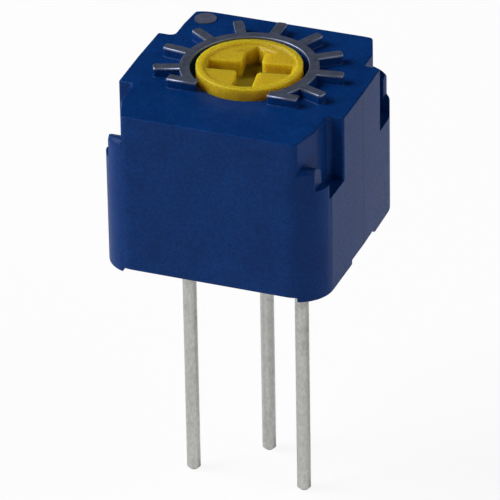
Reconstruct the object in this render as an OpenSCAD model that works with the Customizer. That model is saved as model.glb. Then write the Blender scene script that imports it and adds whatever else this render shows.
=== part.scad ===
// Square single-turn trimmer potentiometer with a top-turned rotor and three straight pins.
// Millimetres. The origin is the middle of the seat plane, +Z points up, -Y is the front.

/* [Housing] */
// Width and depth of the housing
body_w = 9.9; // [9.6:0.1:12]
// Height of the top face above the seat
body_h = 7.45; // [7.4:0.1:9]
// Radius of the four upright corners
corner_r = 1.55; // [1.2:0.05:1.8]
// How far the parting line of each side stands out past the corners
parting_bulge = 0.05; // [0.02:0.01:0.1]
// Thickness of the walls round the open bottom
wall = 1; // [0.8:0.05:1.2]
// Thickness of the roof that the rotor passes through
roof_t = 1.2; // [1.1:0.05:1.3]
// Height of the feet under the two side walls
foot_h = 0.2; // [0.1:0.05:0.3]
// Gap between the front and the back foot of a side
foot_gap = 2.85; // [2:0.05:4]
// Depth of the middle of that gap behind the middle of the housing
foot_gap_y = 0.25; // [0:0.1:1]
// Length of the slanted end of that gap
foot_slant = 0.3; // [0.1:0.05:0.5]
// Depth of the rotor axis behind the middle of the housing
axis_y = 0.18; // [0:0.01:0.3]

/* [Corner notches] */
// How far the upper part is set in from each side at a notch
notch_in = 0.7; // [0.5:0.05:0.8]
// Length of the part of each side that keeps its full width
tab_len = 4.55; // [4:0.05:5]
// Length of the deep groove next to it
groove_len = 1.55; // [1.2:0.05:1.7]
// Depth of the groove below the top face
groove_depth = 2.95; // [2:0.05:3.2]
// Depth of the highest point of a corner's shoulder below the top face
shoulder_depth = 1.18; // [1.1:0.01:1.5]
// Radius of the shoulder's rounded outer edge
shoulder_round = 0.4; // [0.3:0.01:0.45]
// Radius that the shoulder's top falls away with, towards the groove
shoulder_fall = 1.9; // [1.8:0.05:3]
// Width of the shoulder beyond the set-in wall
shoulder_w = 0.29; // [0.2:0.01:0.45]
// Depth of the outer step below the top face
step_depth = 2.3; // [2.2:0.05:2.6]
// Length of the slanted facet along each side
facet_len = 1.4; // [1:0.1:1.5]
// How far the facet leans in at the front right corner
lean_front_right = 0.36; // [0.1:0.01:0.5]
// How far it leans in at the front left corner
lean_front_left = 0.5; // [0.1:0.01:0.5]
// How far it leans in at the back left corner
lean_back_left = 0.1; // [0.1:0.01:0.5]
// How far it leans in at the back right corner
lean_back_right = 0.5; // [0.1:0.01:0.5]
// Radius of the rounded inner corners of the notches
notch_fillet = 0.25; // [0.1:0.05:0.3]

/* [Scale] */
// Height of the raised scale above the top face
scale_h = 0.45; // [0.3:0.05:0.6]
// Inner radius of the raised ring
ring_in_r = 2.5; // [2.45:0.01:2.6]
// Outer radius of the raised ring
ring_out_r = 2.91; // [2.8:0.01:3.1]
// Radius of the tips of the ticks
tick_r = 4; // [3.8:0.05:4.2]
// Width of a tick
tick_w = 0.43; // [0.3:0.01:0.5]
// Angle between two ticks
tick_step = 27.5; // [26:0.5:28]
// Distance of the two front bars from the axis
bar_y = 2; // [1.9:0.05:2.2]
// Half of the distance between the outer ends of the front bars
bar_x = 2.85; // [2.6:0.01:3.1]
// Half of the distance between their inner ends
bar_in_x = 1.59; // [1.4:0.01:1.8]
// Radius of the corners of a tick
tick_round = 0.12; // [0.08:0.01:0.15]
// Thickness of the foil stamped on the scale
foil_t = 0.04; // [0.02:0.01:0.06]
// How far the foil stops short of the edge of the scale
foil_in = 0.03; // [0.02:0.01:0.06]
// Diameter of the printed spot
spot_d = 0.95; // [0.7:0.05:1.2]
// Distance of the spot from the axis to the left
spot_x = 3.5; // [3.3:0.05:3.5]
// Distance of the spot from the axis to the back
spot_y = 4.03; // [3.9:0.01:4.2]

/* [Rotor] */
// Radius of the rotor
rotor_r = 2.24; // [2.2:0.01:2.3]
// Height of the rotor's rim above the top face
rotor_rise = 0.5; // [0.35:0.05:0.7]
// Width of the rim round the rotor's face
rim_w = 0.3; // [0.2:0.01:0.4]
// How far the face lies below the rim
rim_h = 0.12; // [0.05:0.01:0.16]
// Angle of the arrow from the middle tick, anticlockwise from above
rotor_turn = 9.5; // [-40:0.5:40]
// Width of the screwdriver slot
slot_w = 0.85; // [0.7:0.05:0.9]
// Depth of the slot and the cross slot below the face
slot_deep = 0.85; // [0.75:0.01:0.88]
// Distance of the slot's front corners from the rim
slot_margin = 0.02; // [0.02:0.02:0.2]
// Length of the slot's pointed end
slot_point = 0.38; // [0.3:0.01:0.45]
// Width of the cross slot
cross_w = 0.8; // [0.6:0.05:1]
// Length of the cross slot
cross_len = 3.6; // [3:0.05:3.7]
// Width of the arrow head
arrow_w = 1.8; // [1.3:0.05:2]
// Distance from the arrow's tip to the ends of its wings
arrow_len = 0.45; // [0.4:0.05:0.6]
// Distance from the arrow's tip to where its wings leave the slot
arrow_neck = 0.75; // [0.7:0.05:0.9]
// Depth of the arrow head below the face
arrow_deep = 0.09; // [0.06:0.01:0.2]
// Distance of the arrow's tip from the rim
arrow_margin = 0.1; // [0.02:0.02:0.2]
// Radius of the rounded corners where the slots cross
cross_fillet = 0.22; // [0.1:0.01:0.3]
// Radius of the flange under the roof
flange_r = 2.75; // [2.6:0.05:2.8]
// Thickness of the flange
flange_t = 0.9; // [0.7:0.05:0.95]
// Angle that the stop lug of the flange fills
lug_angle = 35; // [30:1:40]
// Angle that the stop of the housing fills
stop_angle = 49; // [44:1:49]
// Diameter of the ring seal's section
seal_d = 0.44; // [0.4:0.02:0.48]

/* [Inside] */
// Radius of the round chamber that the wiper turns in
chamber_r = 3.5; // [3.45:0.05:3.55]
// Thickness of the ceramic substrate
substrate_t = 0.8; // [0.6:0.05:1]
// Depth of the substrate's top face below the top face of the housing
substrate_depth = 2.9; // [2.8:0.05:3.1]
// Thickness of the printed track and conductors
film_t = 0.05; // [0.03:0.01:0.06]
// Inner radius of the resistive track
track_in_r = 2.2; // [2.1:0.05:2.3]
// Outer radius of the resistive track
track_out_r = 3; // [2.9:0.05:3.1]
// Angle from the middle to each end of the resistive track
track_half = 120; // [110:1:122]
// Angle that each end conductor adds to the track
end_angle = 14; // [10:1:15]
// Outer radius of the collector ring
collector_r = 1.3; // [1.2:0.05:1.4]
// Radius of the hole in the collector ring
collector_hole_r = 0.4; // [0.3:0.05:0.5]
// Radius of the corners of the pocket in the open bottom
pocket_r = 0.6; // [0.3:0.05:0.8]
// Radius of the filled holes through the substrate
via_r = 0.2; // [0.15:0.01:0.25]
// Thickness of the wiper's spring sheet
wiper_t = 0.1; // [0.06:0.01:0.12]
// Width of one wiper finger
finger_w = 0.16; // [0.12:0.01:0.18]
// Number of fingers in each comb
fingers = 3; // [2:1:3]
// Depth of the seal's surface inside the open bottom
seal_recess = 0.15; // [0.1:0.05:0.5]

/* [Pins] */
// Diameter of a pin
pin_d = 0.6; // [0.5:0.05:0.7]
// Length of the pins below the seat
pin_len = 11.85; // [4:0.05:14]
// Distance between the two front pins
pin_pitch = 5.08; // [5:0.01:5.1]
// Distance of the middle pin behind the front pins
pin_row = 2.54; // [2.4:0.01:2.6]
// Distance of the front pins in front of the middle of the housing
pin_y = 0.75; // [0.5:0.05:0.9]
// Length of the chamfer at a pin's end
pin_chamfer = 0.12; // [0.05:0.01:0.2]
// Radius of the solder at the pad
solder_r = 0.55; // [0.52:0.01:0.6]
// Height of the solder along the pin
solder_h = 0.55; // [0.4:0.05:0.7]
// Thickness of the solder between a pin's end and its pad
solder_t = 0.15; // [0.1:0.01:0.2]
// Diameter of a pin's thicker root in the resin
root_d = 0.94; // [0.92:0.01:0.98]
// Depth of the end of the root inside the resin
root_in = 0.1; // [0.05:0.05:0.5]

/* [Clearances] */
// Radial gap of the rotor in its bore
run_gap = 0.05; // [0.03:0.01:0.06]
// Gap under the roof and beside the stop
play_gap = 0.05; // [0.04:0.01:0.08]
// Gap between the ring seal and the bore
seal_gap = 0.02; // [0.01:0.01:0.03]
// Gap under the wiper's contacts
contact_gap = 0.03; // [0.02:0.01:0.05]
// Gap round pieces that are set in place
set_gap = 0.01; // [0.005:0.005:0.02]
// Gap round the substrate in its pocket
pocket_gap = 0.08; // [0.05:0.01:0.1]

/* [Hidden] */
$fn = 96;
// How far a cutting shape reaches past the face that it cuts
over = 1;

half_w = body_w / 2;
inner_x = half_w - notch_in;
tab_half = tab_len / 2;
groove_end = tab_half + groove_len;
groove_z = body_h - groove_depth;
shoulder_z = body_h - shoulder_depth;
step_z = body_h - step_depth;
ceiling_z = body_h - roof_t;
foot_x = half_w - wall - pocket_gap;
bore_r = rotor_r + run_gap;
pocket_w = body_w - 2 * wall;
substrate_w = pocket_w - 2 * pocket_gap;
substrate_z = body_h - substrate_depth;
under_z = substrate_z - substrate_t;
pad_z = under_z - film_t;

scale_top = body_h + scale_h - foil_t;
tick_count = 9;
rim_top = body_h + rotor_rise;
face_z = rim_top - rim_h;
face_r = rotor_r - rim_w;
// The slot reaches the rim, so its corners lie on the edge of the face
slot_reach = sqrt(face_r * face_r - slot_w * slot_w / 4) - slot_margin;
flange_top = ceiling_z - play_gap;
flange_z = flange_top - flange_t;
lug_r = chamber_r - 3 * play_gap;
stop_in_r = flange_r + 2 * play_gap;
stop_z = flange_z + play_gap;
// The seal's groove lies midway between the ceiling and the bottom of the screwdriver slot
seal_mid_z = (ceiling_z + face_z - slot_deep) / 2;
seal_mid_r = bore_r - seal_gap - seal_d / 2;
groove_floor_r = seal_mid_r - seal_d / 2 - set_gap;
groove_half = seal_d / 2 + set_gap;

contact_z = substrate_z + film_t + contact_gap;
wiper_z = flange_z - wiper_t;
track_mid_r = (track_in_r + track_out_r) / 2;
comb_pitch = 1.6 * finger_w;
comb_root = 0.3;
collector_mid_r = (collector_r + collector_hole_r) / 2;
finger_run = 1.2;
contact_r = 0.12;
peg_r = 0.3;
peg_x = 1.4;
peg_y = -1;
peg_head_r = 0.42;
peg_head_t = 0.12;
window_w = fingers * comb_pitch + finger_w;

end_mid = track_half + end_angle / 2;
via_end_x = track_mid_r * sin(end_mid);
via_end_y = axis_y + track_mid_r * cos(end_mid);
via_mid_r = 0.9;
via_mid_y = axis_y + via_mid_r;
solder_lip = 0.03;
strip_w = 0.7;
front_pin_y = -pin_y;
back_pin_y = front_pin_y + pin_row;
seal_bottom = foot_h + seal_recess;
root_z = seal_bottom + root_in;

// A flat outline raised from one height to another
module slab(z0, z1) {
    translate([0, 0, z0]) linear_extrude(z1 - z0) children();
}

// A solid of revolution about the rotor axis, turned with the rotor
module on_axis(turn = 0) {
    translate([0, axis_y, 0]) rotate(turn) children();
}

// Children, and their mirror image on the left
module both_sides() {
    children();
    mirror([1, 0, 0]) children();
}

// A square with round corners, in the middle
module round_square(w, r) {
    square([w, w - 2 * r], center = true);
    square([w - 2 * r, w], center = true);
    for (x = [-1, 1], y = [-1, 1]) translate([x * (w / 2 - r), y * (w / 2 - r)]) circle(r);
}

// A slice of a ring, from angle a0 to a1 clockwise from the back
module ring_slice(r0, r1, a0, a1) {
    steps = ceil((a1 - a0) / 30);
    far = 2 * r1;
    rays = [for (i = [0 : steps]) let (a = a0 + (a1 - a0) * i / steps) [far * sin(a), far * cos(a)]];
    intersection() {
        difference() {
            circle(r1);
            circle(r0);
        }
        polygon(concat([[0, 0]], rays));
    }
}

// A straight strip with round ends between two points
module strip(p, q, w) {
    run = q - p;
    translate(p) circle(w / 2);
    translate(q) circle(w / 2);
    translate(p) rotate(atan2(run[1], run[0])) translate([0, -w / 2]) square([norm(run), w]);
}

// What fills an inner corner at the origin, between +X and +Y, to leave it round
module inner_corner(r) {
    difference() {
        square(r);
        translate([r, r]) circle(r);
    }
}

// Outline of the housing in plan, a little fuller at the parting line of each side
module body_outline() {
    straight = half_w - corner_r;
    round_square(body_w, corner_r);
    both_sides() polygon([[half_w - over, -straight], [half_w, -straight], [half_w + parting_bulge, axis_y],
                          [half_w, straight], [half_w - over, straight]]);
}

// One notch in plan, to the right and front of the axis, where the face lies at reach in front of the axis
module notch(reach, lean_in) {
    far = half_w + over;
    facet_start = facet_len - reach;
    lean = lean_in / facet_len;
    difference() {
        polygon([[inner_x, -tab_half], [far, -tab_half], [far, -reach - over],
                 [inner_x - lean * (facet_len + over), -reach - over], [inner_x, facet_start]]);
        translate([inner_x, -tab_half]) mirror([0, 1]) inner_corner(notch_fillet);
    }
}

// All four notches in plan, round the axis
module notches() {
    notch(half_w + axis_y, lean_front_right);
    mirror([1, 0]) notch(half_w + axis_y, lean_front_left);
    mirror([0, 1]) notch(half_w - axis_y, lean_back_right);
    mirror([1, 0]) mirror([0, 1]) notch(half_w - axis_y, lean_back_left);
}

// The notches, cut down to a height between two distances from the axis and beyond a width
module notch_cuts(z, from_y, to_y, from_x = 0) {
    far = half_w + over;
    on_axis() slab(z, body_h + over) intersection() {
        notches();
        both_sides() for (side = [0, 1]) mirror([0, side])
            translate([from_x, from_y]) square([far - from_x, to_y - from_y]);
    }
}

// What stays of the four corners in the notches: round at the outer edge, and lower towards the groove
module shoulders() {
    far_r = corner_r + set_gap;
    round_r = far_r - shoulder_round;
    round_z = shoulder_z - shoulder_round;
    both_sides() for (side = [0, 1]) mirror([0, side]) intersection() {
        translate([half_w - corner_r, corner_r - half_w, 0]) rotate_extrude() {
            square([round_r, shoulder_z]);
            square([far_r, round_z]);
            translate([round_r, round_z]) circle(shoulder_round);
        }
        translate([0, -half_w, shoulder_z - shoulder_fall]) rotate([0, 90, 0])
            cylinder(r = shoulder_fall, h = body_w);
    }
}

// Raised scale in plan, round the axis: ring open to the front, ticks and the two front bars
module scale_outline(inset = 0) {
    out_r = ring_out_r - inset;
    in_r = ring_in_r + inset;
    half = tick_w / 2 - inset;
    reach = tick_r - inset;
    front = bar_y + half;
    end_r = tick_round - inset;
    difference() {
        union() {
            circle(out_r);
            for (i = [0 : tick_count - 1]) rotate((i - (tick_count - 1) / 2) * tick_step) {
                translate([-half, 0]) square([2 * half, reach - end_r]);
                translate([end_r - half, 0]) square([2 * (half - end_r), reach]);
                both_sides() translate([half - end_r, reach - end_r]) circle(end_r);
            }
            translate([-bar_x + inset, -front]) square([2 * (bar_x - inset), 2 * half]);
        }
        circle(in_r);
        translate([-2 * tick_r, -front - 2 * tick_r]) square([4 * tick_r, 2 * tick_r]);
        translate([-bar_in_x - inset, -front - over]) square([2 * (bar_in_x + inset), bar_y]);
    }
}

// Moulded housing: a square block with four notched corners, open at the bottom
module housing() {
    color("mediumblue") difference() {
        union() {
            slab(0, body_h) body_outline();
            on_axis() slab(body_h - over / 2, scale_top) scale_outline();
        }
        notch_cuts(groove_z, tab_half, groove_end);
        difference() {
            notch_cuts(step_z, groove_end, body_w);
            shoulders();
        }
        notch_cuts(step_z, groove_end, body_w, inner_x + shoulder_w);
        slab(-over, substrate_z) round_square(pocket_w, pocket_r);
        on_axis() slab(substrate_z - over / 2, ceiling_z) difference() {
            circle(chamber_r);
            ring_slice(stop_in_r, 2 * chamber_r, 180 - stop_angle / 2, 180 + stop_angle / 2);
        }
        on_axis() slab(substrate_z - over / 2, stop_z) circle(chamber_r);
        on_axis() slab(ceiling_z - over / 2, body_h + over) circle(bore_r);
        slab(-over, foot_h) square([2 * foot_x, body_w + 2 * over], center = true);
        foot_gaps();
    }
}

// The gap between the feet of each side, with a slanted end at the back
module foot_gaps() {
    front = foot_gap_y - foot_gap / 2;
    back = foot_gap_y + foot_gap / 2;
    rotate([90, 0, 90]) translate([0, 0, -body_w]) linear_extrude(2 * body_w)
        polygon([[front, -over], [front, foot_h], [back - foot_slant, foot_h], [back, 0], [back, -over]]);
}

// Thin foil stamped on the raised scale
module scale_foil() {
    color("slategray") on_axis() slab(scale_top, scale_top + foil_t) scale_outline(foil_in);
}

// Round printed spot on the top face, at the back left
module marker_spot() {
    color("slategray") translate([-spot_x, axis_y + spot_y, body_h]) cylinder(d = spot_d, h = foil_t);
}

// Arrow head in plan, its tip near the rim of the rotor's face
module arrow_head() {
    tip = face_r - arrow_margin;
    polygon([[0, tip], [arrow_w / 2, tip - arrow_len], [slot_w / 2, tip - arrow_neck],
             [-slot_w / 2, tip - arrow_neck], [-arrow_w / 2, tip - arrow_len]]);
}

// Screwdriver slot in plan: it ends in a point under the arrow head
module driver_slot() {
    tip = face_r - arrow_margin;
    shoulder = tip - slot_point;
    polygon([[-slot_w / 2, -slot_reach], [slot_w / 2, -slot_reach], [slot_w / 2, shoulder], [0, tip],
             [-slot_w / 2, shoulder]]);
}

// Cross slot in plan, with the inner corners of the cross rounded
module cross_slot() {
    square([cross_len, cross_w], center = true);
    for (x = [0, 1], y = [0, 1]) mirror([x, 0]) mirror([0, y])
        translate([slot_w / 2, cross_w / 2]) inner_corner(cross_fillet);
}

// Rotor in one piece: head with its face, stem groove, flange with the stop lug, and two pegs
module rotor() {
    color("gold") on_axis(rotor_turn) difference() {
        union() {
            slab(flange_top - over / 2, rim_top) circle(rotor_r);
            slab(flange_z, flange_top) circle(flange_r);
            slab(flange_z, flange_top) ring_slice(flange_r - over / 2, lug_r, -lug_angle / 2, lug_angle / 2);
            slab(wiper_z - set_gap - peg_head_t, flange_z + over / 2) pegs(peg_r);
            slab(wiper_z - set_gap - peg_head_t, wiper_z - set_gap) pegs(peg_head_r);
        }
        slab(face_z, rim_top + over) circle(face_r);
        slab(face_z - slot_deep, rim_top) {
            driver_slot();
            cross_slot();
        }
        slab(face_z - arrow_deep, rim_top) arrow_head();
        slab(seal_mid_z - groove_half, seal_mid_z + groove_half) difference() {
            circle(rotor_r + over);
            circle(groove_floor_r);
        }
    }
}

// The two pegs that hold the wiper, in plan
module pegs(r) {
    both_sides() translate([peg_x, peg_y]) circle(r);
}

// Rubber ring that seals the rotor's stem in its bore
module ring_seal() {
    color("dimgray") translate([0, axis_y, seal_mid_z]) rotate_extrude() translate([seal_mid_r, 0]) circle(seal_d / 2);
}

// One comb of fingers: from the sheet at the origin down to the contacts, along +X
module comb() {
    drop = wiper_z + wiper_t - contact_z - 2 * contact_r;
    slope = atan2(drop, finger_run);
    for (i = [0 : fingers - 1]) translate([0, (i - (fingers - 1) / 2) * comb_pitch - finger_w / 2, wiper_z + wiper_t]) {
        rotate([0, slope, 0]) translate([0, 0, -wiper_t]) cube([finger_run / cos(slope), finger_w, wiper_t]);
        translate([finger_run, 0, contact_z + contact_r - wiper_z - wiper_t]) rotate([-90, 0, 0])
            cylinder(r = contact_r, h = finger_w);
    }
}

// Spring sheet under the flange, with one comb on the track and one on the collector
module wiper() {
    window_x = finger_run - collector_mid_r;
    color("goldenrod") on_axis(rotor_turn) {
        slab(wiper_z, wiper_z + wiper_t) difference() {
            union() {
                circle(track_in_r);
                translate([-finger_run - comb_root, 0]) square([comb_root, track_mid_r + window_w / 2]);
            }
            pegs(peg_r + set_gap);
            translate([-window_x, -window_w / 2]) square([finger_run + 2 * contact_r + 0.1, window_w]);
        }
        translate([-finger_run, track_mid_r, 0]) comb();
        translate([-window_x, 0, 0]) comb();
    }
}

// Ceramic plate that carries the track, with three holes for the conductors
module substrate() {
    color("gainsboro") slab(under_z, substrate_z) difference() {
        round_square(substrate_w, pocket_r - pocket_gap);
        both_sides() translate([via_end_x, via_end_y]) circle(via_r);
        translate([0, via_mid_y]) circle(via_r);
    }
}

// Printed track, open towards the front
module resistive_track() {
    color("black") on_axis() slab(substrate_z, substrate_z + film_t)
        ring_slice(track_in_r, track_out_r, -track_half, track_half);
}

// Printed end of the track, filled hole and pad under the substrate, on the right
module end_conductor() {
    pin = [pin_pitch / 2, front_pin_y];
    on_axis() slab(substrate_z, substrate_z + film_t)
        ring_slice(track_in_r, track_out_r, track_half, track_half + end_angle);
    slab(pad_z, substrate_z + film_t) translate([via_end_x, via_end_y]) circle(via_r);
    slab(pad_z, under_z) {
        translate(pin) circle(solder_r);
        strip(pin, [via_end_x, via_end_y], strip_w);
    }
}

module right_conductor() {
    color("silver") end_conductor();
}

module left_conductor() {
    color("silver") mirror([1, 0, 0]) end_conductor();
}

// Printed ring under the middle contacts, filled hole and pad of the middle pin
module collector() {
    color("silver") {
        on_axis() slab(substrate_z, substrate_z + film_t) difference() {
            circle(collector_r);
            circle(collector_hole_r);
        }
        slab(pad_z, substrate_z + film_t) translate([0, via_mid_y]) circle(via_r);
        slab(pad_z, under_z) {
            translate([0, back_pin_y]) circle(solder_r);
            strip([0, back_pin_y], [0, via_mid_y], strip_w);
        }
    }
}

// A round pin with a thicker root in the resin, up to its solder, and a chamfered end
module pin() {
    r = pin_d / 2;
    root_r = root_d / 2;
    top = pad_z - solder_t - set_gap;
    color("lightgray") rotate_extrude() polygon([
        [0, top], [root_r, top], [root_r, root_z], [r, root_z],
        [r, -pin_len + pin_chamfer], [r - pin_chamfer, -pin_len], [0, -pin_len]
    ]);
}

// Solder on a pad, that the end of a pin's root stands in
module solder() {
    r = root_d / 2 + set_gap;
    color("darkgray") rotate_extrude() polygon([
        [0, pad_z], [solder_r, pad_z], [r + solder_lip, pad_z - solder_h], [r, pad_z - solder_h],
        [r, pad_z - solder_t], [0, pad_z - solder_t]
    ]);
}

module at_left_pin() {
    translate([-pin_pitch / 2, front_pin_y, 0]) children();
}

module at_centre_pin() {
    translate([0, back_pin_y, 0]) children();
}

module at_right_pin() {
    translate([pin_pitch / 2, front_pin_y, 0]) children();
}

module left_pin() {
    at_left_pin() pin();
}

module centre_pin() {
    at_centre_pin() pin();
}

module right_pin() {
    at_right_pin() pin();
}

module left_solder() {
    at_left_pin() solder();
}

module centre_solder() {
    at_centre_pin() solder();
}

module right_solder() {
    at_right_pin() solder();
}

// Hardened resin that fills the pocket under the substrate, round the pins and their solder
module epoxy_seal() {
    color("darkblue") difference() {
        slab(seal_bottom, pad_z) round_square(pocket_w - 2 * set_gap, pocket_r - set_gap);
        at_left_pin() pin_space();
        at_centre_pin() pin_space();
        at_right_pin() pin_space();
    }
}

// What the resin leaves free for a pin, its root and its solder
module pin_space() {
    translate([0, 0, -over]) cylinder(r = pin_d / 2 + set_gap, h = pad_z + 2 * over);
    translate([0, 0, root_z - set_gap]) cylinder(r = root_d / 2 + set_gap, h = pad_z);
    translate([0, 0, pad_z - solder_h - set_gap]) cylinder(r = solder_r + set_gap, h = solder_h + over);
}

housing();
scale_foil();
marker_spot();
rotor();
ring_seal();
wiper();
substrate();
resistive_track();
left_conductor();
collector();
right_conductor();
left_pin();
centre_pin();
right_pin();
left_solder();
centre_solder();
right_solder();
epoxy_seal();
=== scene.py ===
"""Looks of a square trimmer potentiometer with a raised scale, a yellow rotor and three straight pins.

Lengths are in metres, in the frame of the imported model: +X right, +Y back, +Z up, seat plane at z = 0.
"""

import math

import bmesh
import bpy
from mathutils import Matrix, Vector


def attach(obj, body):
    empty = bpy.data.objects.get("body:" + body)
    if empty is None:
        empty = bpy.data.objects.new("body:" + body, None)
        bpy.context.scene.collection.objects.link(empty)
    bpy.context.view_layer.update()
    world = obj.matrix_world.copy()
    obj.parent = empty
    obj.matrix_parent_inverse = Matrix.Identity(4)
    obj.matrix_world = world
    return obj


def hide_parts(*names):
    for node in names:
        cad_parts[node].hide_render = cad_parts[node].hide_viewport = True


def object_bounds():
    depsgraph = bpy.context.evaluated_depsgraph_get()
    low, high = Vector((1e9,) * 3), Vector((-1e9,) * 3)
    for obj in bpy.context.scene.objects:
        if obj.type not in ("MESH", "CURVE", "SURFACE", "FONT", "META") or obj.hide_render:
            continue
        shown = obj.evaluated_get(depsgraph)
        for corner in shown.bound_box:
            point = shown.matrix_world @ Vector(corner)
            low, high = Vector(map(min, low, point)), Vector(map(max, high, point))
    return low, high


MM = 0.001

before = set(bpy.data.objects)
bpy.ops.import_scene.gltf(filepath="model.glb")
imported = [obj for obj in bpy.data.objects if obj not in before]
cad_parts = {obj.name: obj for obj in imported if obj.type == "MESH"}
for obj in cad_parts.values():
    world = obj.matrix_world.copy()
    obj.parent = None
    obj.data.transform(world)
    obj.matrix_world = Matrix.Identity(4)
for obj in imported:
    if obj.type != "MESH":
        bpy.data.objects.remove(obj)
cad_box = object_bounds()

# Sizes that the scene's own pieces share with the solids
AXIS_Y = 0.18 * MM
TOP_Z = 7.45 * MM
SCALE_TOP = 7.9 * MM
RING_IN = 2.5 * MM
RING_OUT = 2.91 * MM
TICK_REACH = 4.0 * MM
TICK_WIDTH = 0.43 * MM
TICK_STEP = math.radians(27.5)
RING_END = 47
TICK_COUNT = 9
TICK_ROUND = 0.12 * MM
BAR_Y = 2.0 * MM
BAR_OUT = 2.85 * MM
BAR_IN = 1.59 * MM
FOIL_WRAP = 0.1 * MM
FOIL_LAP = 0.01 * MM
FOIL_EDGE = 0.045 * MM
HEAD_Z = 6.91 * MM
SLOT_FLOOR_Z = 6.98 * MM
SIDE_X = 4.9 * MM
PARTING_WIDE = 0.065 * MM
# Top of the painted shade in the rotor's slots
PAINTED_SHADE_TOP_Z = 7.25 * MM
EDGE_WIDE = 0.11 * MM
EDGE_TOP = 0.075 * MM
EDGE_SMALL = 0.045 * MM
EDGE_FINE = 0.02 * MM
SMOOTH_BELOW = 11
FLOOR_Z = -11.85 * MM
# How much of the floor's look is plain white instead of lit board, for each kind of ray
BOARD_GLOW = {"Is Camera Ray": 0.9, "Is Glossy Ray": 0.15, "Is Transmission Ray": 0.9}
# Lamps: name, place, width and power
LAMPS = (("front_left", (-0.47, -0.17, 0.4), 0.45, 4.9), ("right", (0.56, 0.04, 0.29), 0.8, 1.9))


def linear(code):
    """An sRGB colour, written as hex, as Blender's linear RGBA."""
    parts = [int(code[i : i + 2], 16) / 255 for i in (1, 3, 5)]
    return [c / 12.92 if c <= 0.04045 else ((c + 0.055) / 1.055) ** 2.4 for c in parts] + [1.0]


def per(size_mm):
    """How often a pattern of that size in millimetres repeats in a metre."""
    return 1 / (size_mm * MM)


def add(tree, kind, inputs=None, **settings):
    """Adds a node. An input's value is a number, a colour or the socket that feeds it."""
    made = tree.nodes.new(kind)
    for name, value in settings.items():
        setattr(made, name, value)
    for key, value in (inputs or {}).items():
        if isinstance(value, bpy.types.NodeSocket):
            tree.links.new(value, made.inputs[key])
        else:
            made.inputs[key].default_value = value
    return made


def start_material(name, **shader_values):
    """A new material with a Principled shader, and its Object coordinates."""
    material = bpy.data.materials.new(name)
    material.use_nodes = True
    tree = material.node_tree
    tree.nodes.clear()
    shader = add(tree, "ShaderNodeBsdfPrincipled", {k.replace("_", " "): v for k, v in shader_values.items()})
    add(tree, "ShaderNodeOutputMaterial", {"Surface": shader.outputs["BSDF"]})
    place = add(tree, "ShaderNodeTexCoord").outputs["Object"]
    return material, tree, shader, place


def noise(tree, place, size_mm, detail=2.0, roughness=0.5):
    """Plain noise with patches of that size."""
    made = add(tree, "ShaderNodeTexNoise", {"Vector": place, "Scale": per(size_mm), "Detail": detail, "Roughness": roughness})
    return made.outputs["Fac"]


def between(tree, factor, low, high, from_low=0.3, from_high=0.7):
    """A number that runs from low to high as the factor crosses its range."""
    made = add(tree, "ShaderNodeMapRange",
               {"Value": factor, "From Min": from_low, "From Max": from_high, "To Min": low, "To Max": high})
    return made.outputs["Result"]


def blend_colours(tree, factor, first, second):
    """A mix of two colours, each a hex code or a socket."""
    a, b = (c if isinstance(c, bpy.types.NodeSocket) else linear(c) for c in (first, second))
    return add(tree, "ShaderNodeMix", {0: factor, 6: a, 7: b}, data_type="RGBA").outputs[2]


def link(tree, socket, shader, name):
    tree.links.new(socket, shader.inputs[name])


def bump(tree, shader, height, depth_mm, strength=1.0):
    """Relief of that depth in the surface."""
    made = add(tree, "ShaderNodeBump", {"Height": height, "Distance": depth_mm * MM, "Strength": strength})
    link(tree, made.outputs["Normal"], shader, "Normal")


def moulded_plastic(name, colour, cloud, roughness, level, grain_mm=0.09, grain_deep=0.004):
    """Moulded thermoplastic: a fine spark-eroded grain, faint flow clouds, and a gloss that changes a little."""
    material, tree, shader, place = start_material(name, IOR=1.5, Specular_IOR_Level=level)
    clouds = noise(tree, place, 1.6, 4.0, 0.6)
    specks = noise(tree, place, grain_mm, 1.0)
    base = blend_colours(tree, between(tree, clouds, 0.0, 1.0), colour, cloud)
    grain = add(tree, "ShaderNodeHueSaturation", {"Value": between(tree, specks, 0.84, 1.16), "Color": base}).outputs[0]
    link(tree, grain, shader, "Base Color")
    link(tree, between(tree, specks, roughness - 0.05, roughness + 0.07), shader, "Roughness")
    bump(tree, shader, specks, grain_deep)
    return material, tree, shader, place


def darken(tree, shader, factor, colour):
    """Blends the surface towards another colour where the factor is 1."""
    before = shader.inputs["Base Color"].links[0].from_socket
    link(tree, add(tree, "ShaderNodeMix", {0: factor, 6: before, 7: linear(colour)}, data_type="RGBA").outputs[2],
         shader, "Base Color")


# Glass-filled polyester, moulded: deep blue, matt, with a fine grain
housing_blue, tree, shader, place = moulded_plastic("glass_filled_polyester_blue", "#032D67", "#063472", 0.4, 0.1, 0.1, 0.009)
# The mould's parting line shows as a thin dark line up the middle of each side
across = add(tree, "ShaderNodeSeparateXYZ", {"Vector": place}).outputs
off_line = add(tree, "ShaderNodeMath", {0: across["Y"], 1: AXIS_Y}, operation="SUBTRACT").outputs[0]
off_line = add(tree, "ShaderNodeMath", {0: off_line}, operation="ABSOLUTE").outputs[0]
on_side = add(tree, "ShaderNodeMath", {0: across["X"]}, operation="ABSOLUTE").outputs[0]
on_side = add(tree, "ShaderNodeMath", {0: on_side, 1: SIDE_X}, operation="GREATER_THAN").outputs[0]
thin = between(tree, off_line, 0.8, 0.0, 0.3 * PARTING_WIDE, PARTING_WIDE)
darken(tree, shader, add(tree, "ShaderNodeMath", {0: thin, 1: on_side}, operation="MULTIPLY").outputs[0], "#010A1C")
# Nylon, moulded: warm yellow, a little glossier than the housing
rotor_yellow, tree, shader, place = moulded_plastic("moulded_nylon_yellow", "#CCAE24", "#C5A61E", 0.42, 0.3, 0.07, 0.003)
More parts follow.
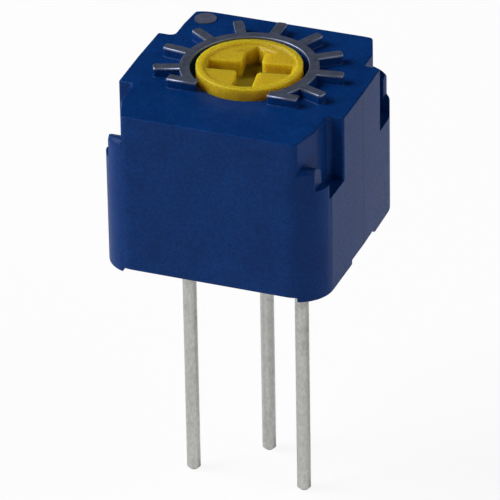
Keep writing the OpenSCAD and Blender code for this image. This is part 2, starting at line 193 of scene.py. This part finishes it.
# Light spreads under the nylon's surface, which brightens its edges and the walls of the slots
shader.inputs["Subsurface Weight"].default_value = 1.0
shader.inputs["Subsurface Scale"].default_value = 1.2 * MM
shader.inputs["Subsurface Radius"].default_value = (1.0, 0.9, 0.1)
# Painted shade in the slots: the yellow darkens towards their floor, where little light reaches
height = add(tree, "ShaderNodeSeparateXYZ", {"Vector": place}).outputs["Z"]
darken(tree, shader, between(tree, height, 0.6, 0.0, SLOT_FLOOR_Z, PAINTED_SHADE_TOP_Z), "#6E5206")


def metal(name, colour, dull, roughness, patch_mm, grain_deep, stretch=None):
    """A metal surface whose tone and gloss vary in patches. A stretch draws them out into streaks along Z."""
    material, tree, shader, place = start_material(name, Metallic=1.0)
    if stretch:
        place = add(tree, "ShaderNodeMapping", {"Vector": place, "Scale": (1.0, 1.0, 1.0 / stretch)}).outputs["Vector"]
    patches = noise(tree, place, patch_mm, 4.0, 0.6)
    link(tree, blend_colours(tree, between(tree, patches, 0.0, 1.0), colour, dull), shader, "Base Color")
    link(tree, between(tree, patches, roughness - 0.06, roughness + 0.1), shader, "Roughness")
    bump(tree, shader, patches, grain_deep)
    return material


# Hot-stamped foil: grey metal, satin, with fine rubs
stamped_foil = metal("stamped_foil_grey", "#8F99B5", "#8089A2", 0.5, 0.3, 0.003)
# Tinned copper wire: pale neutral metal, mottled where the tin froze, with grey smudges from handling
tinned_wire = metal("tinned_copper_wire", "#CDCECA", "#B9BAB5", 0.36, 0.1, 0.004, 2.0)
tree = tinned_wire.node_tree
place = add(tree, "ShaderNodeTexCoord").outputs["Object"]
smudges = between(tree, noise(tree, place, 1.1, 4.0, 0.7), 0.0, 0.55, 0.5, 0.68)
height = add(tree, "ShaderNodeSeparateXYZ", {"Vector": place}).outputs["Z"]
near_body = between(tree, height, 0.25, 1.0, -6.0 * MM, -2.0 * MM)
smudges = add(tree, "ShaderNodeMath", {0: smudges, 1: near_body}, operation="MULTIPLY").outputs[0]
darken(tree, tree.nodes["Principled BSDF"], smudges, "#62635F")
# Solder: duller and lumpier than the tinned wire
soft_solder = metal("soft_solder", "#A8A8A6", "#8F8F8D", 0.42, 0.2, 0.01)
# Phosphor bronze spring sheet, rolled bright
spring_bronze = metal("phosphor_bronze_sheet", "#C9A15C", "#B98F4C", 0.25, 0.15, 0.001)
# Silver-palladium film, printed and fired: pale, grainy metal
fired_silver = metal("fired_silver_film", "#C4C2BC", "#AEACA6", 0.5, 0.08, 0.003)


def dull_coat(name, colour, other, roughness, patch_mm, grain_deep, ior):
    """A coat or body without metal: two close tones in patches, and a rough surface."""
    material, tree, shader, place = start_material(name, IOR=ior)
    patches = noise(tree, place, patch_mm, 3.0)
    link(tree, blend_colours(tree, between(tree, patches, 0.0, 1.0), colour, other), shader, "Base Color")
    link(tree, between(tree, patches, roughness - 0.05, roughness + 0.05), shader, "Roughness")
    bump(tree, shader, patches, grain_deep)
    return material


# Printing ink of the spot, with the blue showing through a little
spot_ink = dull_coat("printed_ink_grey", "#454B60", "#52576A", 0.5, 0.25, 0.002, 1.5)
# Fired alumina: off-white, matt, with a fine crystal grain
alumina = dull_coat("fired_alumina", "#E4E3DC", "#D8D7CF", 0.6, 0.06, 0.002, 1.76)
# Cermet ink of the track: near black, slightly grainy
cermet = dull_coat("fired_cermet_ink", "#1C1B1B", "#262524", 0.55, 0.05, 0.002, 1.8)
# Silicone rubber of the ring seal
silicone = dull_coat("silicone_rubber_dark", "#2A2A2B", "#232324", 0.7, 0.15, 0.002, 1.43)
# Cast epoxy: dark blue, glossy, with slow waves from curing
epoxy = dull_coat("cast_epoxy_blue", "#0B1E45", "#0E244F", 0.22, 1.6, 0.03, 1.53)


def new_piece(name, mesh):
    """A mesh as an object of the scene, at the origin."""
    piece = bpy.data.objects.new(name, mesh)
    bpy.context.scene.collection.objects.link(piece)
    return piece


def settled(piece, name):
    """The piece with its modifiers made into a plain mesh."""
    graph = bpy.context.evaluated_depsgraph_get()
    mesh = bpy.data.meshes.new_from_object(piece.evaluated_get(graph), depsgraph=graph)
    bpy.data.objects.remove(piece)
    mesh.name = name
    return new_piece(name, mesh)


def keep_inside(mesh):
    """Puts points that a bevel or the remesh left a hair outside the solids' box back on its wall."""
    low, high = cad_box
    for point in mesh.vertices:
        point.co = [min(max(value, low[i]), high[i]) for i, value in enumerate(point.co)]


def dress(piece, node_name, material, body):
    """Gives a finished piece its material and body, in place of a CAD node."""
    keep_inside(piece.data)
    piece.data.materials.clear()
    piece.data.materials.append(material)
    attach(piece, body)
    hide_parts(node_name)


def whole_copy(node_name):
    """A copy of a CAD node's loose triangles as one closed mesh with whole flat faces."""
    shape = bmesh.new()
    shape.from_mesh(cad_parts[node_name].data)
    bmesh.ops.remove_doubles(shape, verts=shape.verts, dist=0.0002 * MM)
    bmesh.ops.dissolve_limit(shape, angle_limit=math.radians(0.5), verts=shape.verts, edges=shape.edges)
    return shape


def upright(edge):
    """Whether an edge stands on end."""
    first, second = (v.co for v in edge.verts)
    return abs(first.z - second.z) > 0.95 * edge.calc_length() and abs(first.z - second.z) > 0.2 * MM


def housing_piece():
    """The housing with its moulded edges: small on most, wider on the upright corners of the top."""
    shape = whole_copy("housing")
    weights = shape.edges.layers.float.new("bevel_weight_edge")
    for edge in shape.edges:
        angle = math.degrees(edge.calc_face_angle(0))
        middle = (edge.verts[0].co + edge.verts[1].co) / 2
        shallow = angle < 25
        edge.smooth = angle < SMOOTH_BELOW or not shallow
        if not shallow or (upright(edge) and angle > SMOOTH_BELOW):
            edge.smooth = True
            in_notch = abs(middle.x) > 3.6 * MM and abs(middle.y) > 2.0 * MM and 4.3 * MM < middle.z < 6.9 * MM
            width = EDGE_TOP if middle.z > 7.3 * MM else EDGE_FINE if in_notch else EDGE_SMALL
            edge[weights] = width / EDGE_WIDE
            outer = abs(middle.y) > 4.5 * MM or abs(middle.x) > 4.85 * MM
            if upright(edge) and outer and middle.z > 4.6 * MM and edge.is_convex:
                edge[weights] = 1.0
    mesh = bpy.data.meshes.new("housing_shell")
    shape.to_mesh(mesh)
    shape.free()
    for face in mesh.polygons:
        face.use_smooth = True
    piece = new_piece("housing_edges", mesh)
    bevel = piece.modifiers.new("edges", "BEVEL")
    bevel.width = EDGE_WIDE
    bevel.segments = 4
    bevel.limit_method = "WEIGHT"
    bevel.use_clamp_overlap = False
    bevel.miter_outer = "MITER_ARC"
    even = piece.modifiers.new("even", "WEIGHTED_NORMAL")
    even.keep_sharp = True
    even.weight = 100
    return settled(piece, "housing_shell")


def rotor_piece():
    """The rotor: its head is remeshed fine and relaxed, so that every moulded edge in it is soft; the stem stays crisp."""
    head, stem = whole_copy("rotor"), whole_copy("rotor")
    for shape, above in ((head, True), (stem, False)):
        cut = bmesh.ops.bisect_plane(shape, geom=shape.verts[:] + shape.edges[:] + shape.faces[:], plane_co=(0, 0, HEAD_Z),
                                     plane_no=(0, 0, 1), clear_inner=above, clear_outer=not above)
        rim = [e for e in cut["geom_cut"] if isinstance(e, bmesh.types.BMEdge)]
        bmesh.ops.contextual_create(shape, geom=rim)
        bmesh.ops.recalc_face_normals(shape, faces=shape.faces)
    mesh = bpy.data.meshes.new("head")
    head.to_mesh(mesh)
    piece = new_piece("head", mesh)
    fine = piece.modifiers.new("fine", "REMESH")
    fine.mode = "VOXEL"
    fine.voxel_size = 0.028 * MM
    fine.use_smooth_shade = True
    relax = piece.modifiers.new("relax", "SMOOTH")
    relax.factor = 0.5
    relax.iterations = 4
    piece = settled(piece, "rotor_head")
    for face in stem.faces:
        face.smooth = False
    joined = bmesh.new()
    joined.from_mesh(piece.data)
    stem_mesh = bpy.data.meshes.new("stem")
    stem.to_mesh(stem_mesh)
    joined.from_mesh(stem_mesh)
    joined.to_mesh(piece.data)
    for shape in (head, stem, joined):
        shape.free()
    return piece


def plate(outline, low, high):
    """A closed flat plate from an outline that runs anticlockwise."""
    shape = bmesh.new()
    face = shape.faces.new([shape.verts.new((x, y, low)) for x, y in outline])
    raised = bmesh.ops.extrude_face_region(shape, geom=[face])["geom"]
    bmesh.ops.translate(shape, verts=[v for v in raised if isinstance(v, bmesh.types.BMVert)], vec=(0, 0, high - low))
    bmesh.ops.recalc_face_normals(shape, faces=shape.faces)
    mesh = bpy.data.meshes.new("plate")
    shape.to_mesh(mesh)
    shape.free()
    return mesh


def arc(radius, start, end, steps, centre=(0, 0)):
    """Points of an arc, its angles in degrees from +X."""
    angles = [math.radians(start + (end - start) * i / steps) for i in range(steps + 1)]
    return [(centre[0] + radius * math.cos(a), centre[1] + radius * math.sin(a)) for a in angles]


def tick_row():
    """Node tree that sets copies of one tick round the axis, at an even angle, the middle one pointing back."""
    tree = bpy.data.node_groups.new("tick_row", "GeometryNodeTree")
    for name, kind in (("Tick", "NodeSocketGeometry"), ("Count", "NodeSocketInt"), ("Step", "NodeSocketFloat"),
                       ("Axis Y", "NodeSocketFloat"), ("Material", "NodeSocketMaterial")):
        tree.interface.new_socket(name=name, in_out="INPUT", socket_type=kind)
    tree.interface.new_socket(name="Geometry", in_out="OUTPUT", socket_type="NodeSocketGeometry")
    given = add(tree, "NodeGroupInput").outputs
    line = add(tree, "GeometryNodeMeshLine", {"Count": given["Count"], "Offset": (0, 0, 0)})
    less = add(tree, "ShaderNodeMath", {0: given["Count"], 1: 1.0}, operation="SUBTRACT").outputs[0]
    half = add(tree, "ShaderNodeMath", {0: less, 1: 0.5}, operation="MULTIPLY").outputs[0]
    index = add(tree, "GeometryNodeInputIndex").outputs[0]
    place = add(tree, "ShaderNodeMath", {0: index, 1: half}, operation="SUBTRACT").outputs[0]
    angle = add(tree, "ShaderNodeMath", {0: place, 1: given["Step"]}, operation="MULTIPLY").outputs[0]
    turn = add(tree, "ShaderNodeCombineXYZ", {"Z": angle}).outputs[0]
    put = add(tree, "GeometryNodeInstanceOnPoints", {"Points": line.outputs[0], "Instance": given["Tick"], "Rotation": turn})
    shift = add(tree, "ShaderNodeCombineXYZ", {"Y": given["Axis Y"]}).outputs[0]
    moved = add(tree, "GeometryNodeTransform", {"Geometry": put.outputs[0], "Translation": shift})
    real = add(tree, "GeometryNodeRealizeInstances", {"Geometry": moved.outputs[0]})
    ready = add(tree, "GeometryNodeSetMaterial", {"Geometry": real.outputs[0], "Material": given["Material"]})
    add(tree, "NodeGroupOutput", {"Geometry": ready.outputs[0]})
    return tree


def set_inputs(modifier, values):
    """Sets a node modifier's named inputs by their sockets' identifiers."""
    for item in modifier.node_group.interface.items_tree:
        if item.in_out == "INPUT" and item.name in values:
            modifier[item.identifier] = values[item.name]


def foil_piece():
    """Foil over the whole raised scale: ring, ticks and the two front bars, with its edges pressed down round them."""
    low, high = SCALE_TOP - FOIL_WRAP, SCALE_TOP
    half = TICK_WIDTH / 2 + FOIL_LAP
    reach = TICK_REACH + FOIL_LAP
    inner = reach - TICK_ROUND
    side = half - TICK_ROUND
    outline = [(-half, RING_IN + 0.2 * MM), (half, RING_IN + 0.2 * MM)]
    outline += arc(TICK_ROUND, 0, 90, 5, (side, inner)) + arc(TICK_ROUND, 90, 180, 5, (-side, inner))
    ticks = new_piece("ticks", plate(outline, low, high))
    row = ticks.modifiers.new("row", "NODES")
    row.node_group = tick_row()
    set_inputs(row, {"Count": TICK_COUNT, "Step": TICK_STEP, "Axis Y": AXIS_Y, "Material": stamped_foil})
    piece = settled(ticks, "scale_stamping")
    ring = arc(RING_OUT + FOIL_LAP, -RING_END, 180 + RING_END, 150) + arc(RING_IN - FOIL_LAP, 180 + RING_END, -RING_END, 140)
    parts = [plate([(x, y + AXIS_Y) for x, y in ring], low, high)]
    near, far = -BAR_Y + half + AXIS_Y, -BAR_Y - half + AXIS_Y
    for left, right in ((-BAR_OUT - FOIL_LAP, FOIL_LAP - BAR_IN), (BAR_IN - FOIL_LAP, BAR_OUT + FOIL_LAP)):
        parts.append(plate([(left, far), (right, far), (right, near), (left, near)], low, high))
    for mesh in parts:
        other = new_piece("part", mesh)
        union = piece.modifiers.new("union", "BOOLEAN")
        union.operation = "UNION"
        union.solver = "EXACT"
        union.use_self = True
        union.object = other
        piece = settled(piece, "scale_stamping")
        bpy.data.objects.remove(other)
    shape = bmesh.new()
    shape.from_mesh(piece.data)
    bmesh.ops.remove_doubles(shape, verts=shape.verts, dist=0.001 * MM)
    bmesh.ops.dissolve_limit(shape, angle_limit=math.radians(0.5), verts=shape.verts, edges=shape.edges)
    weights = shape.edges.layers.float.new("bevel_weight_edge")
    for edge in shape.edges:
        on_top = all(v.co.z > high - 0.01 * MM for v in edge.verts)
        edge[weights] = 1.0 if on_top and edge.calc_face_angle(0) > 1 else 0.0
        edge.smooth = edge.calc_face_angle(0) < math.radians(SMOOTH_BELOW) or on_top
    shape.to_mesh(piece.data)
    shape.free()
    for face in piece.data.polygons:
        face.use_smooth = True
    bevel = piece.modifiers.new("pressed", "BEVEL")
    bevel.width = FOIL_EDGE
    bevel.segments = 4
    bevel.limit_method = "WEIGHT"
    bevel.use_clamp_overlap = False
    even = piece.modifiers.new("even", "WEIGHTED_NORMAL")
    even.keep_sharp = True
    return settled(piece, "scale_stamping")


dress(housing_piece(), "housing", housing_blue, "case")
dress(rotor_piece(), "rotor", rotor_yellow, "turning")
dress(foil_piece(), "scale_foil", stamped_foil, "case")

for node_name, material in {
    "marker_spot": spot_ink, "ring_seal": silicone, "wiper": spring_bronze,
    "substrate": alumina, "resistive_track": cermet, "collector": fired_silver,
    "left_conductor": fired_silver, "right_conductor": fired_silver,
    "left_pin": tinned_wire, "centre_pin": tinned_wire, "right_pin": tinned_wire,
    "left_solder": soft_solder, "centre_solder": soft_solder, "right_solder": soft_solder, "epoxy_seal": epoxy,
}.items():
    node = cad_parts[node_name]
    node.data.materials.clear()
    node.data.materials.append(material)


def studio():
    """White floor in a dim room, with a wide soft lamp on each side: the stronger one at the front left."""
    bpy.ops.mesh.primitive_plane_add(size=6, location=(0, 0, FLOOR_Z))
    floor = bpy.context.object
    floor.name = "floor"
    material, tree, shader, place = start_material("white_board", Roughness=0.9, Specular_IOR_Level=0.0)
    tone = between(tree, noise(tree, place, 40.0), 0.0, 1.0)
    link(tree, blend_colours(tree, tone, "#FCFCFC", "#FAFAFA"), shader, "Base Color")
    # The camera and reflections see a board that is mostly plain white and still holds a soft shadow
    rays = add(tree, "ShaderNodeLightPath").outputs
    share = 0.0
    for ray, glow_share in BOARD_GLOW.items():
        part = add(tree, "ShaderNodeMath", {0: rays[ray], 1: glow_share}, operation="MULTIPLY").outputs[0]
        share = add(tree, "ShaderNodeMath", {0: share, 1: part}, operation="MAXIMUM").outputs[0]
    glow = add(tree, "ShaderNodeEmission", {"Color": linear("#FFFFFF"), "Strength": 1.0}).outputs[0]
    mixed = add(tree, "ShaderNodeMixShader", {0: share, 1: shader.outputs["BSDF"], 2: glow}).outputs[0]
    tree.links.new(mixed, tree.nodes["Material Output"].inputs["Surface"])
    floor.data.materials.append(material)
    world = bpy.data.worlds.new("dim_room")
    bpy.context.scene.world = world
    world.use_nodes = True
    world.node_tree.nodes["Background"].inputs["Color"].default_value = linear("#F0F2F5")
    world.node_tree.nodes["Background"].inputs["Strength"].default_value = 0.04
    for name, place, size, power in LAMPS:
        lamp = bpy.data.lights.new(name, "AREA")
        lamp.shape = "SQUARE"
        lamp.size = size
        lamp.energy = power
        holder = bpy.data.objects.new(name, lamp)
        holder.location = place
        holder.rotation_euler = (-Vector(place)).to_track_quat("-Z", "Y").to_euler()
        bpy.context.scene.collection.objects.link(holder)


def photo_camera():
    """The photograph's view, fitted to the edges and the pins."""
    azimuth, elevation, roll = (math.radians(a) for a in (21.0914, 30.2115, -1.0288))
    back = Vector((math.sin(azimuth) * math.cos(elevation), -math.cos(azimuth) * math.cos(elevation), math.sin(elevation)))
    right = Vector((math.cos(azimuth), math.sin(azimuth), 0))
    up = back.cross(right)
    right, up = (math.cos(roll) * right + math.sin(roll) * up, math.cos(roll) * up - math.sin(roll) * right)
    data = bpy.data.cameras.new("photo_camera")
    data.lens = 397.56
    data.sensor_width = 36
    data.clip_start = 0.01
    camera = bpy.data.objects.new("photo_camera", data)
    spot = (right * -0.0331 + up * -0.7727 + back * 233.1235) * MM
    camera.matrix_world = Matrix.Translation(spot) @ Matrix((right, up, back)).transposed().to_4x4()
    bpy.context.scene.collection.objects.link(camera)
    bpy.context.scene.camera = camera


studio()
photo_camera()
bpy.context.scene.view_settings.view_transform = "Standard"
